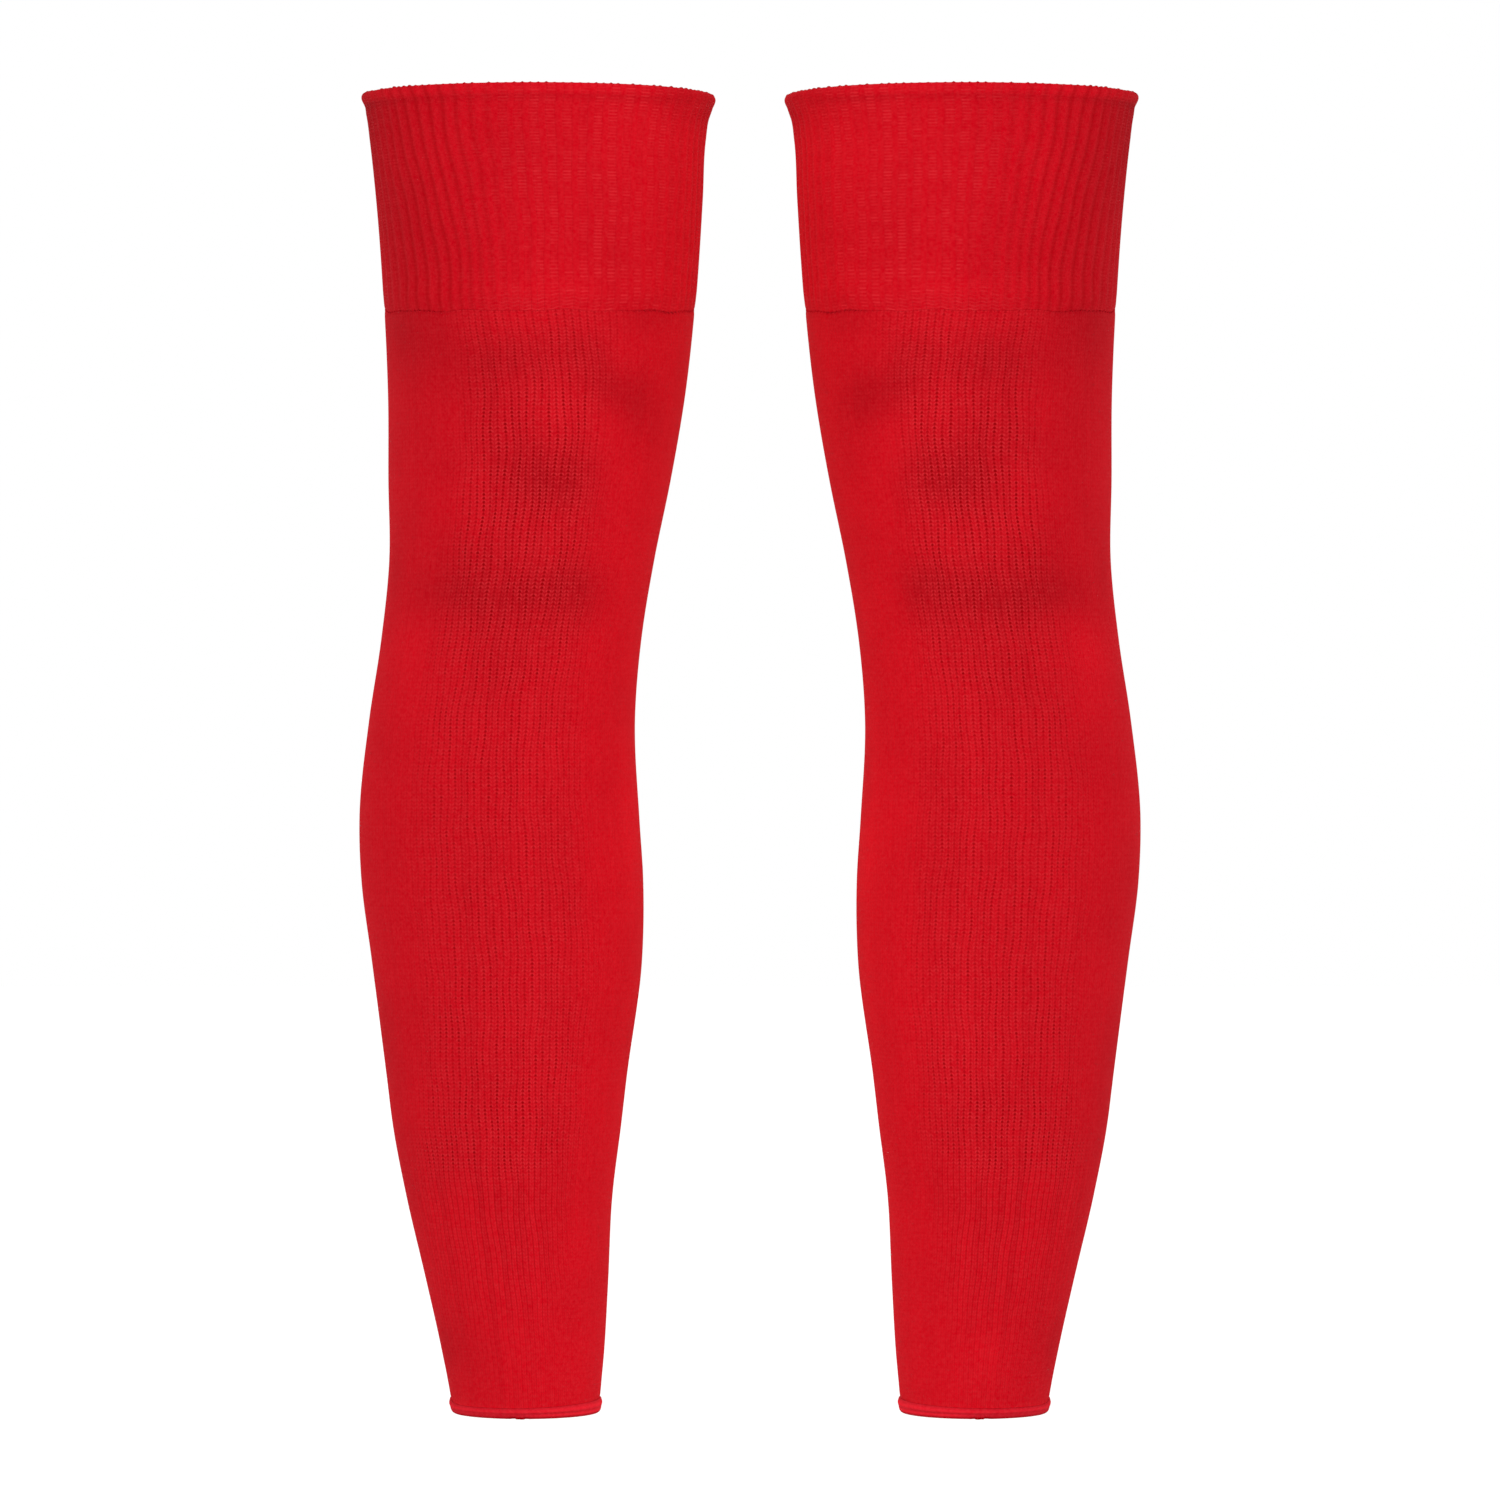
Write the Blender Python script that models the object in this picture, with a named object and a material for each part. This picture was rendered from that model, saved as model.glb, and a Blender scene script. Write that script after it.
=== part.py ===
"""A pair of knitted leg warmers, hollow, in the filled-out form in which they are worn.

Each sleeve has three pieces of cloth: a ribbed cuff, a plain leg and a narrow turned hem. Each piece is
a thin wall, lofted through level rings. The second sleeve mirrors the first about the plane X = 0.
The front faces -Y, +Z is up, and the origin lies midway between the two cuffs, at mid cuff height.
"""

from collections import namedtuple

import bpy
import numpy as np

MM = 0.001

# Heights above the hem's lowest edge, in millimetres
RIM_HEIGHT = 550.0
CUFF_SEAM_HEIGHT = 461.0
HEM_SEAM_HEIGHT = 6.0
ORIGIN_HEIGHT = (RIM_HEIGHT + CUFF_SEAM_HEIGHT) / 2
SEAM_GAP = 0.3

# The cloth walls, in millimetres
CUFF_THICKNESS = 2.6
LEG_THICKNESS = 1.4
HEM_THICKNESS = 2.6
HEM_PROUD = 0.6

# The cuff's ribs: two knitted wales to a rib, raised on the outside only
WALES = 132
RIBS = WALES // 2
RIB_POINTS = 3
RIB_HEIGHT = 0.9
LIP_RIB_HEIGHT = 0.3

LEG_COLUMNS = 36
HEM_COLUMNS = 36
SHARP_DEGREES = 40
SIDES = {"left": -1, "right": 1}

# The red yarn as it looks in each stitch, in linear light, and its roughness
CUFF_RED, CUFF_ROUGHNESS = (0.57, 0.009, 0.013), 0.85
LEG_RED, LEG_ROUGHNESS = (0.52, 0.008, 0.012), 0.88
HEM_RED, HEM_ROUGHNESS = (0.56, 0.009, 0.014), 0.85

# A sleeve's reach at each height, in millimetres. Outer and inner are the distances of its two side
# edges from the plane between the sleeves. Front and back are its depth before and behind Y = 0.
Section = namedtuple("Section", "height outer inner front back")
SECTIONS = (
    Section(0, 124.9, 62.6, 35, 44),
    Section(10, 126.0, 62.3, 35, 44),
    Section(26, 129.1, 61.0, 35, 46),
    Section(55, 135.7, 59.4, 36, 52),
    Section(90, 144.0, 57.7, 38, 58),
    Section(120, 149.8, 54.0, 40, 63),
    Section(139, 152.2, 51.8, 42, 66),
    Section(189, 158.7, 45.3, 46, 74),
    Section(222, 163.0, 44.8, 48, 76),
    Section(248, 163.8, 46.4, 49, 74),
    Section(289, 159.6, 48.2, 51, 67),
    Section(323, 154.3, 45.5, 54, 61),
    Section(356, 150.8, 40.1, 60, 59),
    Section(390, 151.1, 33.1, 65, 61),
    Section(423, 151.2, 27.4, 68, 64),
    Section(461, 152.8, 23.1, 70, 67),
    Section(507, 156.1, 19.9, 73, 70),
    Section(532, 158.8, 18.6, 75, 72),
    Section(541, 160.0, 17.2, 76, 73),
    Section(546, 161.1, 15.2, 77, 74),
    Section(550, 161.7, 15.4, 77, 75),
)

# Soft swells of the stretched front, in millimetres and, for turn, in degrees from the front towards
# the outer side. Up and round are how far each one spreads, and rise is its height.
Swell = namedtuple("Swell", "height turn up round rise")
SWELLS = (
    Swell(463, 2, 26, 46, 1.6),
    Swell(409, -2, 18, 27, 2.2),
    Swell(362, 0, 17, 33, 2.0),
)

# The cuff's outside from its seam up: height, how far the ring stands out from the section, and how
# high the ribs are there. Then the heights of its plain inside, from the rim down.
Ring = namedtuple("Ring", "height out ribs")
CUFF_OUTSIDE = (
    Ring(CUFF_SEAM_HEIGHT + SEAM_GAP / 2, 0.0, RIB_HEIGHT),
    Ring(484, 0.0, RIB_HEIGHT),
    Ring(511, 0.0, RIB_HEIGHT),
    Ring(534, 0.0, RIB_HEIGHT),
    Ring(542, 0.0, RIB_HEIGHT),
    Ring(546, 0.1, RIB_HEIGHT),
    Ring(548.5, 0.2, LIP_RIB_HEIGHT),
    Ring(RIM_HEIGHT, -0.7, 0.0),
)
CUFF_INSIDE = (RIM_HEIGHT - 1, 532, 500, CUFF_SEAM_HEIGHT + SEAM_GAP / 2)

LEG_HEIGHTS = (
    HEM_SEAM_HEIGHT + SEAM_GAP / 2, 30, 60, 92, 125, 160, 192, 222, 252,
    285, 312, 332, 348, 362, 378, 395, 411, 428, 444, CUFF_SEAM_HEIGHT - SEAM_GAP / 2,
)

# The hem's rounded profile, up its outside and down its inside: height, and how far the ring stands out
# from the leg's outside
PlainRing = namedtuple("PlainRing", "height out")
HEM_PROFILE = (
    PlainRing(0.0, -0.6),
    PlainRing(1.8, HEM_PROUD),
    PlainRing(4.4, HEM_PROUD),
    PlainRing(HEM_SEAM_HEIGHT - SEAM_GAP / 2, 0.0),
    PlainRing(HEM_SEAM_HEIGHT - SEAM_GAP / 2, -1.7),
    PlainRing(2.0, HEM_PROUD - HEM_THICKNESS),
    PlainRing(0.0, -1.6),
)


def smooth(height, column):
    """One column of SECTIONS at a height: a cubic from row to row, with slopes shared at the rows."""
    known = np.array([row.height for row in SECTIONS], float)
    values = np.array([getattr(row, column) for row in SECTIONS], float)
    slopes = np.gradient(values, known)
    row = int(np.clip(np.searchsorted(known, height, side="right") - 1, 0, len(known) - 2))
    step = known[row + 1] - known[row]
    part = (height - known[row]) / step
    start = values[row] * (1 + 2 * part) + slopes[row] * step * part
    end = values[row + 1] * (3 - 2 * part) - slopes[row + 1] * step * (1 - part)
    return start * (1 - part) ** 2 + end * part**2


def swell(height, turns, radius):
    """How far the swells lift the wall: for each, its rise times a bell curve of the distance to it."""
    lift = np.zeros_like(turns)
    for row in SWELLS:
        away = np.angle(np.exp(1j * (turns - np.radians(row.turn)))) * radius
        lift += row.rise * np.exp(-((height - row.height) / row.up) ** 2 - (away / row.round) ** 2)
    return lift


def ring(side, height, out, columns):
    """A level ring of points, as an array of columns by 3, in metres.

    It is an ellipse through the section's four reaches. Its points turn from the front to the outer
    side and on to the back, and out is one distance for the whole ring, or one for each point.
    """
    outer, inner, front, back = (smooth(height, name) for name in ("outer", "inner", "front", "back"))
    half_width, half_depth = (outer - inner) / 2, (front + back) / 2
    turns = np.linspace(0, 2 * np.pi, columns, endpoint=False)
    reach = out + swell(height, turns, (half_width + half_depth) / 2)
    across = (outer + inner) / 2 + (half_width + reach) * np.sin(turns)
    along = (back - front) / 2 - (half_depth + reach) * np.cos(turns)
    up = np.full(columns, height - ORIGIN_HEIGHT)
    return np.stack([side * across, along, up], axis=1) * MM


def ribbed(out, rib_height):
    """Distances for a ring with RIB_POINTS to a rib: a narrow trough, then the edges of the crest."""
    crest, trough = out + rib_height / 2, out - rib_height / 2
    return np.tile([trough] + [crest] * (RIB_POINTS - 1), RIBS)


def bridge(first, second, first_count, second_count):
    """Faces between two rings, given the index of each one's first point and how many it has.

    Rings with the same count are joined by quads. Where one has more, each point of the other takes a
    fan of as many triangles as that, and one quad.
    """
    if first_count < second_count:
        return [face[::-1] for face in bridge(second, first, second_count, first_count)]
    ratio = first_count // second_count
    faces = []
    for i in range(first_count):
        here, there = first + i, first + (i + 1) % first_count
        above, beside = second + i // ratio, second + (i // ratio + 1) % second_count
        if (i + 1) % ratio == 0:
            faces.append((here, there, beside, above))
        else:
            faces.append((here, there, above))
    return faces


def knit(name, colour, roughness):
    """A red yarn's plain material."""
    material = bpy.data.materials.new(name)
    material.use_nodes = True
    shader = material.node_tree.nodes["Principled BSDF"]
    shader.inputs["Base Color"].default_value = (*colour, 1)
    shader.inputs["Roughness"].default_value = roughness
    shader.inputs["Metallic"].default_value = 0
    material.diffuse_color = (*colour, 1)
    return material


def wall(name, side, rings, material, parent):
    """A closed wall whose profile runs through the rings in order and back to the first one."""
    counts = [len(points) for points in rings]
    starts = np.concatenate([[0], np.cumsum(counts)[:-1]]).tolist()
    faces = []
    for i in range(len(rings)):
        j = (i + 1) % len(rings)
        faces += bridge(starts[i], starts[j], counts[i], counts[j])
    mesh = bpy.data.meshes.new(name)
    mesh.from_pydata(np.concatenate(rings).tolist(), [], faces)
    if side < 0:
        mesh.flip_normals()
    mesh.materials.append(material)
    mesh.shade_smooth()
    mesh.set_sharp_from_angle(angle=np.radians(SHARP_DEGREES))
    piece = bpy.data.objects.new(name, mesh)
    bpy.context.scene.collection.objects.link(piece)
    piece.parent = parent
    return piece


def cuff(name, side, material, parent):
    """The double welt: ribs raised outside, a rounded rim that leans out, and a plain inside."""
    outside = [ring(side, row.height, ribbed(row.out, row.ribs), RIB_POINTS * RIBS) for row in CUFF_OUTSIDE]
    inside = [ring(side, height, -CUFF_THICKNESS, RIBS) for height in CUFF_INSIDE]
    return wall(name, side, outside + inside, material, parent)


def leg(name, side, material, parent):
    """The plain tube from the cuff's seam down to the hem."""
    outside = [ring(side, height, 0.0, LEG_COLUMNS) for height in LEG_HEIGHTS]
    inside = [ring(side, height, -LEG_THICKNESS, LEG_COLUMNS) for height in LEG_HEIGHTS[::-1]]
    return wall(name, side, outside + inside, material, parent)


def hem(name, side, material, parent):
    """The turned edge at the bottom, a narrow rounded band."""
    rings = [ring(side, row.height, row.out, HEM_COLUMNS) for row in HEM_PROFILE]
    return wall(name, side, rings, material, parent)


def clear_scene():
    for thing in list(bpy.data.objects):
        bpy.data.objects.remove(thing, do_unlink=True)


def build():
    clear_scene()
    pair = bpy.data.objects.new("pair_of_leg_warmers", None)
    bpy.context.scene.collection.objects.link(pair)
    cuff_knit = knit("ribbed knit", CUFF_RED, CUFF_ROUGHNESS)
    leg_knit = knit("plain knit", LEG_RED, LEG_ROUGHNESS)
    hem_knit = knit("turned edge", HEM_RED, HEM_ROUGHNESS)
    for word, side in SIDES.items():
        cuff(f"cuff_{word}", side, cuff_knit, pair)
        leg(f"leg_{word}", side, leg_knit, pair)
        hem(f"hem_{word}", side, hem_knit, pair)


build()
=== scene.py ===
# %% [markdown]
# A pair of red knitted leg warmers, in the filled-out form in which they are worn. Each sleeve is knitted
# round and round on a circular machine: a wide ribbed cuff at the top, a plain leg whose lowest part is a
# closer knit, and a narrow turned hem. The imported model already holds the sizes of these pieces. This
# script gives each one its real surface: the ribs, the wales, the stitches and the soft shading of
# stretched cloth. It starts by loading that model as a frame that stays as it is.

# %% Load the frame
from collections import namedtuple

import bpy
import numpy as np
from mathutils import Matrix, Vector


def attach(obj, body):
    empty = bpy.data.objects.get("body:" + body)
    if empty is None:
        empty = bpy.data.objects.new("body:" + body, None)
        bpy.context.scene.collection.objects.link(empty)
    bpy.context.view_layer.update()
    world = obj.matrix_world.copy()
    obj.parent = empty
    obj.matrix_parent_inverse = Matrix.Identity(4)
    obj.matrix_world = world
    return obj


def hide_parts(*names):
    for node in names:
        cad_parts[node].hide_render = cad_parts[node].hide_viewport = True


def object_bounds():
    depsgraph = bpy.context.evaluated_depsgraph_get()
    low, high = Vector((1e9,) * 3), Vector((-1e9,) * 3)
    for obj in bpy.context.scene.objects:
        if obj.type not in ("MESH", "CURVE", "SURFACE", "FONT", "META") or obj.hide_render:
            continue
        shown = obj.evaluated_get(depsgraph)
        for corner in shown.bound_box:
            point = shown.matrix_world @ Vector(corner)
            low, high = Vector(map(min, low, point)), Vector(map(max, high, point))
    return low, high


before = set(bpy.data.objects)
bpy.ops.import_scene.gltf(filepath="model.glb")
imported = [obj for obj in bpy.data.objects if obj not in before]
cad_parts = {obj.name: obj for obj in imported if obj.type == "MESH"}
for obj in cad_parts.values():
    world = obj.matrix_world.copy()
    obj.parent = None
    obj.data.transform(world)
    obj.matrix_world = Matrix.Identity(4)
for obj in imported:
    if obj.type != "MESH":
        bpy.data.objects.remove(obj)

frame_low, frame_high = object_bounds()
print("frame from", list(frame_low), "to", list(frame_high))

# %% [markdown]
# A knitted tube has no front and back panel, so its form is best told by level sections. Each section
# below gives how far the sleeve reaches at one height: to its outer and inner side from the plane between
# the two sleeves, and to the front and back. Between two rows the form follows a cubic, so that a few
# rows give one smooth leg. The same table shapes the solids of the frame, so the new surfaces lie on them.

# %% Sizes of a sleeve, in millimetres
MM = 0.001
SIDES = {"left": -1, "right": 1}
RIM_HEIGHT = 550.0
CUFF_SEAM_HEIGHT = 461.0
HEM_SEAM_HEIGHT = 6.0
SEAM_GAP = 0.3
ORIGIN_HEIGHT = (RIM_HEIGHT + CUFF_SEAM_HEIGHT) / 2

CUFF_THICKNESS = 2.6
LEG_THICKNESS = 1.4

WALES = 132
RIBS = WALES // 2

Section = namedtuple("Section", "height outer inner front back")
SECTIONS = [Section(*row) for row in (
    (0, 124.9, 62.6, 35, 44), (10, 126.0, 62.3, 35, 44), (26, 129.1, 61.0, 35, 46),
    (55, 135.7, 59.4, 36, 52), (90, 144.0, 57.7, 38, 58), (120, 149.8, 54.0, 40, 63),
    (139, 152.2, 51.8, 42, 66), (189, 158.7, 45.3, 46, 74), (222, 163.0, 44.8, 48, 76),
    (248, 163.8, 46.4, 49, 74), (289, 159.6, 48.2, 51, 67), (323, 154.3, 45.5, 54, 61),
    (356, 150.8, 40.1, 60, 59), (390, 151.1, 33.1, 65, 61), (423, 151.2, 27.4, 68, 64),
    (461, 152.8, 23.1, 70, 67), (507, 156.1, 19.9, 73, 70), (532, 158.8, 18.6, 75, 72),
    (541, 160.0, 17.2, 76, 73), (546, 161.1, 15.2, 77, 74), (550, 161.7, 15.4, 77, 75),
)]


def reach(heights, column):
    """One column of SECTIONS at each height: a cubic between two rows, whose slopes the rows share."""
    known = np.array([row.height for row in SECTIONS], float)
    values = np.array([getattr(row, column) for row in SECTIONS], float)
    slopes = np.gradient(values, known)
    row = np.clip(np.searchsorted(known, heights, side="right") - 1, 0, len(known) - 2)
    step = known[row + 1] - known[row]
    part = (heights - known[row]) / step
    start = values[row] * (1 + 2 * part) + slopes[row] * step * part
    end = values[row + 1] * (3 - 2 * part) - slopes[row + 1] * step * (1 - part)
    return start * (1 - part) ** 2 + end * part**2


def girth(heights):
    """The length round an ellipse of half axes a and b, by Ramanujan's formula, in millimetres."""
    half_width = (reach(heights, "outer") - reach(heights, "inner")) / 2
    half_depth = (reach(heights, "front") + reach(heights, "back")) / 2
    unlike = ((half_width - half_depth) / (half_width + half_depth)) ** 2
    return np.pi * (half_width + half_depth) * (1 + 3 * unlike / (10 + np.sqrt(4 - 3 * unlike)))


for word, height in (("hem", 0.0), ("calf", 222.0), ("knee", 390.0), ("rim", RIM_HEIGHT)):
    print("girth at the", word, round(float(girth(np.array(height))), 1), "mm")

# %% [markdown]
# Cloth that is filled out isn't perfectly even. It swells a little at the height of the knee and just above
# the cuff's seam, and lies back between. Such soft forms are bell curves laid on the wall: a height and a
# turn say where the middle is, measured in degrees from the front towards the outer side, and two
# distances say how far the bell spreads. The three large ones are in the frame's solids too.

# %% Soft swells and hollows of the wall
Bell = namedtuple("Bell", "height turn up round amount")
SWELLS = [Bell(*row) for row in (
    (463, 2, 26, 46, 1.6), (409, -2, 18, 27, 2.2), (362, 0, 17, 33, 2.0),
)]


def degrees_from(turns, middle):
    """Each turn's distance from the middle one, in degrees, from -180 to 180."""
    return np.degrees(np.angle(np.exp(1j * (turns - np.radians(middle)))))


def fade(distance, spread, power=2):
    """exp(-|distance / spread|^power): 1 in the middle, and gone a few spreads away from it."""
    return np.exp(-np.abs(distance / spread) ** power)


def mean_radius(heights):
    """The mean of the section's two half axes, in millimetres."""
    return (reach(heights, "outer") - reach(heights, "inner")
            + reach(heights, "front") + reach(heights, "back")) / 4


def bells(rows, heights, turns):
    """The sum of the rows' bells: for each, its amount times a fade of the rise and one of the arc."""
    total = np.zeros(np.broadcast_shapes(heights.shape, turns.shape))
    radius = mean_radius(heights)
    for row in rows:
        arc = np.radians(degrees_from(turns, row.turn)) * radius
        total += row.amount * fade(heights - row.height, row.up) * fade(arc, row.round)
    return total


def skin(side, heights, turns, out):
    """Points of a sleeve's wall, in metres: across = centre + (a + out) sin(turn), along = centre -
    (b + out) cos(turn), where a and b are the section's half axes. The turn starts at the front."""
    outer, inner, front, back = (reach(heights, name) for name in ("outer", "inner", "front", "back"))
    lifted = out + bells(SWELLS, heights, turns)
    across = (outer + inner) / 2 + ((outer - inner) / 2 + lifted) * np.sin(turns)
    along = (back - front) / 2 - ((front + back) / 2 + lifted) * np.cos(turns)
    up = np.broadcast_to(heights - ORIGIN_HEIGHT, across.shape)
    return np.stack([side * across, along, up], axis=-1) * MM


front_at_seam = skin(1, np.array([CUFF_SEAM_HEIGHT]), np.zeros(1), 0.0)[0]
print("front of the wall at the cuff's seam:", np.round(front_at_seam, 4).tolist())

# %% [markdown]
# Every piece here is a closed wall: a profile that runs up the outside, over the edge, down the inside
# and back to its start, carried once round the sleeve. As a grid of rows and columns that closes both
# ways, it has no loose edge anywhere. Each face also keeps two numbers in a UV map: how many wales it is
# round from the front, and how many courses up. The stitches are drawn on those numbers, so they follow
# the cloth wherever it widens or narrows. Two curves help to shape the walls: a smooth step, which changes
# from one level to another without a corner, and waves that run round the sleeve, for what is uneven.

# %% A closed wall from a grid of points, and the curves that shape it
def smooth_step(low, high, values):
    """0 below low, 1 above high, and 3t^2 - 2t^3 between. With low above high it falls instead."""
    part = np.clip((values - low) / (high - low), 0, 1)
    return part * part * (3 - 2 * part)


def waves(rows, turns):
    """The sum of the rows' waves round the sleeve: for each, its height times sin(count x turn + start)."""
    return sum(height * np.sin(count * turns + start) for height, count, start in rows)


def cross_wave(heights, turns, up, count):
    """A wave that runs up and round at once: sin(height / up + count x turn)."""
    return np.sin(heights / up + count * turns)


def closed_wall(name, side, points, wale_points, courses, values):
    """A mesh whose faces join each row to the next and each column to the next, the last to the first.

    wale_points says how many columns make a wale, and courses has one number for each row and one more.
    values maps an attribute's name to an array of one number for each point.
    """
    rows, columns = points.shape[:2]
    wales = np.arange(columns + 1) / wale_points
    i, j = (grid.ravel() for grid in np.meshgrid(np.arange(rows), np.arange(columns), indexing="ij"))
    corners_i = np.stack([i, i, i + 1, i + 1], axis=1)
    corners_j = np.stack([j, j + 1, j + 1, j], axis=1)
    if side < 0:
        corners_i, corners_j = corners_i[:, ::-1], corners_j[:, ::-1]
    mesh = bpy.data.meshes.new(name)
    mesh.vertices.add(rows * columns)
    mesh.vertices.foreach_set("co", points.astype(np.float32).ravel())
    mesh.loops.add(4 * len(i))
    mesh.loops.foreach_set("vertex_index", (corners_i % rows * columns + corners_j % columns).ravel())
    mesh.polygons.add(len(i))
    mesh.polygons.foreach_set("loop_start", np.arange(0, 4 * len(i), 4))
    mesh.update(calc_edges=True)
    knit_map = mesh.uv_layers.new(name="knit")
    knit_map.data.foreach_set("uv", np.stack([wales[corners_j], courses[corners_i]], axis=-1)
                              .astype(np.float32).ravel())
    for word, numbers in values.items():
        layer = mesh.attributes.new(word, "FLOAT", "POINT")
        layer.data.foreach_set("value", np.broadcast_to(numbers, (rows, columns)).astype(np.float32).ravel())
    mesh.shade_smooth()
    piece = bpy.data.objects.new(name, mesh)
    bpy.context.scene.collection.objects.link(piece)
    print(name, "has", 2 * len(mesh.polygons), "triangles")
    return piece


# %% [markdown]
# A knit shows two things where it is stretched: the gaps between its wales open into columns of small dark
# dots, and the whole patch looks deeper in colour. Both are numbers that each point of the leg carries. The
# dots are strongest down the middle of the front, most of all a third of the way down, and fade to closed,
# smooth knit at the sides. In the ankle zone they reach further round the outer side. The second number is
# painted shade and painted light, as bell curves again: painted shade above and below the fullest swell of
# the front, where the cloth turns downwards away from the light from above, painted light between and beside
# them, and a few softer ones at the back. Besides the deeper colour of stretched knit, these patches stand
# in for the shading of the knee's soft forms and of the sleeve's sides.

# %% Where the knit is stretched
# Each row: height, amount, turn of the middle and spread
OPENNESS = np.array((
    (0, 0.15, 24, 34), (28, 0.30, 22, 38), (50, 0.75, 18, 46), (90, 1.00, 14, 50),
    (118, 0.80, 4, 44), (150, 0.70, -1, 40), (222, 0.55, -1, 38), (300, 0.65, -1, 36),
    (335, 0.90, -1, 33), (360, 0.95, -1, 30), (390, 1.00, -1, 28), (410, 0.88, -1, 27),
    (430, 0.74, -1, 29), (452, 0.60, -1, 31), (461, 0.40, -1, 34),
)).T
OPEN_POWER = 6
OPEN_BACK_SHARE, OPEN_BACK_SPREAD, OPEN_BACK_POWER = 0.55, 50, 3

# Painted shade (positive amounts) and painted light (negative amounts) on the leg's colour
PAINTED_SHADING_BELLS = [Bell(*row) for row in (
    (458, 10, 7, 20, -0.09), (457, -46, 8, 22, 0.12), (455, 58, 26, 34, 0.19), (437, 12, 10, 17, 0.12),
    (442, -19, 9, 14, 0.12), (429, -25, 8, 12, 0.13), (422, -40, 12, 15, 0.17), (421, -7, 8, 16, -0.04),
    (415, 33, 9, 9, -0.05), (408, -31, 10, 9, -0.09), (401, 14, 8, 13, 0.05), (392, -13, 12, 17, 0.17),
    (383, -12, 8, 16, 0.10), (389, 18, 14, 10, -0.11), (381, 32, 10, 9, -0.06), (370, 16, 9, 9, -0.08),
    (352, 70, 14, 10, 0.10), (343, 27, 10, 15, 0.14), (337, 5, 9, 20, 0.16), (345, -21, 10, 18, 0.20),
    (336, -33, 11, 12, 0.11), (313, 4, 16, 9, 0.06), (320, 48, 11, 18, -0.12), (298, 42, 18, 22, -0.08),
    (238, -70, 34, 18, -0.13), (200, 26, 70, 22, -0.05), (75, 25, 36, 14, -0.05), (28, 6, 13, 10, -0.11),
    (30, 64, 14, 12, 0.13), (58, 16, 52, 36, -0.05), (13, 12, 9, 24, -0.06), (425, -42, 22, 22, 0.06),
    (402, -62, 24, 20, 0.04), (391, 3, 12, 12, 0.06), (345, 47, 13, 15, 0.06), (321, -16, 15, 12, 0.06),
    (268, 18, 30, 20, -0.06), (237, -26, 34, 13, 0.06), (150, 74, 36, 14, 0.08), (100, 68, 20, 12, 0.05),
    (122, -25, 12, 14, 0.06), (395, 176, 15, 26, 0.14), (362, 190, 9, 32, 0.10), (300, 172, 20, 22, 0.06),
    (430, 205, 11, 18, 0.08),
)]


def openness(heights, turns):
    """How open the gaps are, 0 to 1: an amount for the height times a flat-topped fade round the front,
    plus a weaker fade round the back."""
    known, *columns = OPENNESS
    amount, middle, spread = (np.interp(heights, known, column) for column in columns)
    front = fade(degrees_from(turns, 0) - middle, spread, OPEN_POWER)
    back = OPEN_BACK_SHARE * fade(degrees_from(turns, 180), OPEN_BACK_SPREAD, OPEN_BACK_POWER)
    return amount * (front + back)


for height in (90.0, 222.0, 390.0):
    at_front = openness(np.array([height]), np.zeros(1))[0]
    print("openness of the front at", height, "mm:", round(float(at_front), 2))

# %% [markdown]
# The leg is one plain-knit tube of 132 wales. Its wales are real relief here, up to a fifth of a
# millimetre from trough to crest, with four points to each wale. They don't run at quite even spacing.
# Towards the ankle the wales at the front sit wider apart than those behind, so each wale's turn is
# shifted by a share of its sine, and near the cuff they fan outwards as they rise. Every wale also wanders
# a little, as a knit does where it is pulled. The lowest part, up to about 103 mm, is the closer ankle
# knit. At both ends the wall is drawn in where it meets the next piece, except at the front.

# %% The plain leg
WALE_POINTS = 4
WALE_RELIEF, CLOSED_RELIEF = 0.10, 0.3
LEG_ROWS_OUTSIDE, LEG_ROWS_INSIDE = 134, 38
EDGE_STRIP, LEG_EDGE_ROWS, OUTSIDE_START, INSIDE_START = 0.04, (0.4, 1.0, 1.9), 3.0, 4.0
EDGE_ROLL, EDGE_ROLL_REACH = 0.45, 0.9
# Painted light on the leg just above the hem
EDGE_LIGHT, EDGE_LIGHT_REACH, EDGE_LIGHT_TURNS = 0.16, 0.9, (-45, 10)
HEM_DIP, HEM_DIP_REACH = 0.6, 14.0
HEM_SINK, HEM_SINK_REACH, SINK_STARTS, SINK_ENDS = 1.75, 3.2, (-95, 15), (60, 100)
SEAM_DIP, SEAM_DIP_REACH = 3.5, 18.0
SEAM_WAVES, SEAM_WAVE_REACH = ((0.3, 11, 0.4), (0.21, 19, 2.0)), 9.0
SEAM_SHALLOW, SEAM_TURNS = 0.04, (22, 44)
# Painted shade on the leg just under the cuff's seam
SEAM_SHADE, SEAM_SHADE_REACH = 0.07, 1.6
SEAM_CLOSE = 0.12
WAIST, WAIST_REACH = 0.45, 3.0
FRONT_COSINES = (0.7, 0.2)
TWIST, TWIST_START, TWIST_POWER, TWIST_TURN, TWIST_SPREAD = 7.0, 388.0, 1.4, 2, 62
KNIT_WANDER, KNIT_WAVES, FINE_WAVE = 0.45, ((5.3, 11), (13, -7), (9.1, -17)), 0.6
WANDER_STARTS, WANDER_ENDS = (8, 40), (440, 459)
ANKLE_KNIT_TOP, ANKLE_KNIT_BLEND = 103.0, 9.0
ANKLE_WAVES = (3.0, 3, 0.7), (1.6, 7, 2.1)
LEG_COURSE, ANKLE_COURSE = 1.60, 1.42
# Each row: height and share
FRONT_SPREAD = np.array((
    (35, 0.26), (80, 0.17), (122, 0.145), (164, 0.10), (235, 0.05),
    (298, 0.065), (340, 0.07), (381, 0.03), (423, 0.02), (461, -0.01),
)).T


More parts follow.
